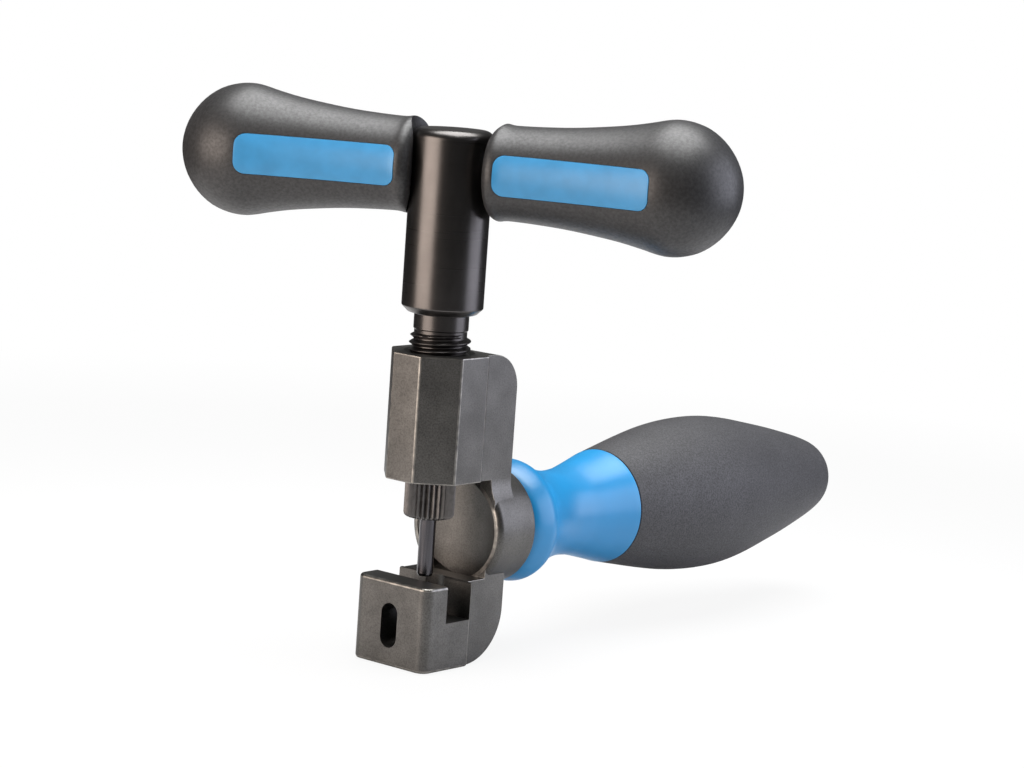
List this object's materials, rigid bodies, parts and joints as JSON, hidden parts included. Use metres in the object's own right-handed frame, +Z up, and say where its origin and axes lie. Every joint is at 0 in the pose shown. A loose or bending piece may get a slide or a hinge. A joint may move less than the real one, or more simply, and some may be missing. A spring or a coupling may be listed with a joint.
{
  "type": "bicycle chain tool",
  "caption": "Bench chain tool with a T-handled drive screw, knurled pin retainer, chain cradle and long rear grip.",
  "frame": {"origin": "on the drive screw's axis, at the flat underside of the chain cradle", "axes": "+Z up along the drive screw towards the T-handle, +Y along the rear handle, +X across the cradle"},
  "size_m": [0.1417, 0.2157, 0.1476],
  "materials": {
    "body_steel": "black oxide, satin, fine cast grain",
    "screw_steel": "black oxide, turned",
    "pin_steel": "hardened, polished",
    "plain_steel": "bright, turned",
    "brass": "turned and knurled",
    "blue_plastic": "semi-gloss moulded",
    "grip_rubber": "matt, fine grain"
  },
  "bodies": {
    "frame": {"body_casting": "body_steel", "handle_stud": "plain_steel", "handle_insert": "brass", "handle_core": "blue_plastic", "handle_sleeve": "grip_rubber"},
    "pin": {"push_pin": "pin_steel"},
    "drive": {"drive_screw": "screw_steel", "pin_retainer": "screw_steel", "cross_bar": "plain_steel", "grip_core_left": "blue_plastic", "grip_core_right": "blue_plastic", "grip_shell_left": "grip_rubber", "grip_shell_right": "grip_rubber"}
  },
  "joints": [
    {"name": "pin_travel", "type": "slide", "parent": "frame", "child": "pin", "axis": [0, 0, 1], "range_m": [-0.0096, 0.0141]},
    {"name": "drive_turn", "type": "hinge", "parent": "pin", "child": "drive", "pos_m": [0, 0, 0.09], "axis": [0, 0, 1], "range_deg": [-1710, 2520]}
  ],
  "couplings": [
    {"joint": "pin_travel", "follows": "drive_turn", "m_per_rad": 0.00031831}
  ]
}
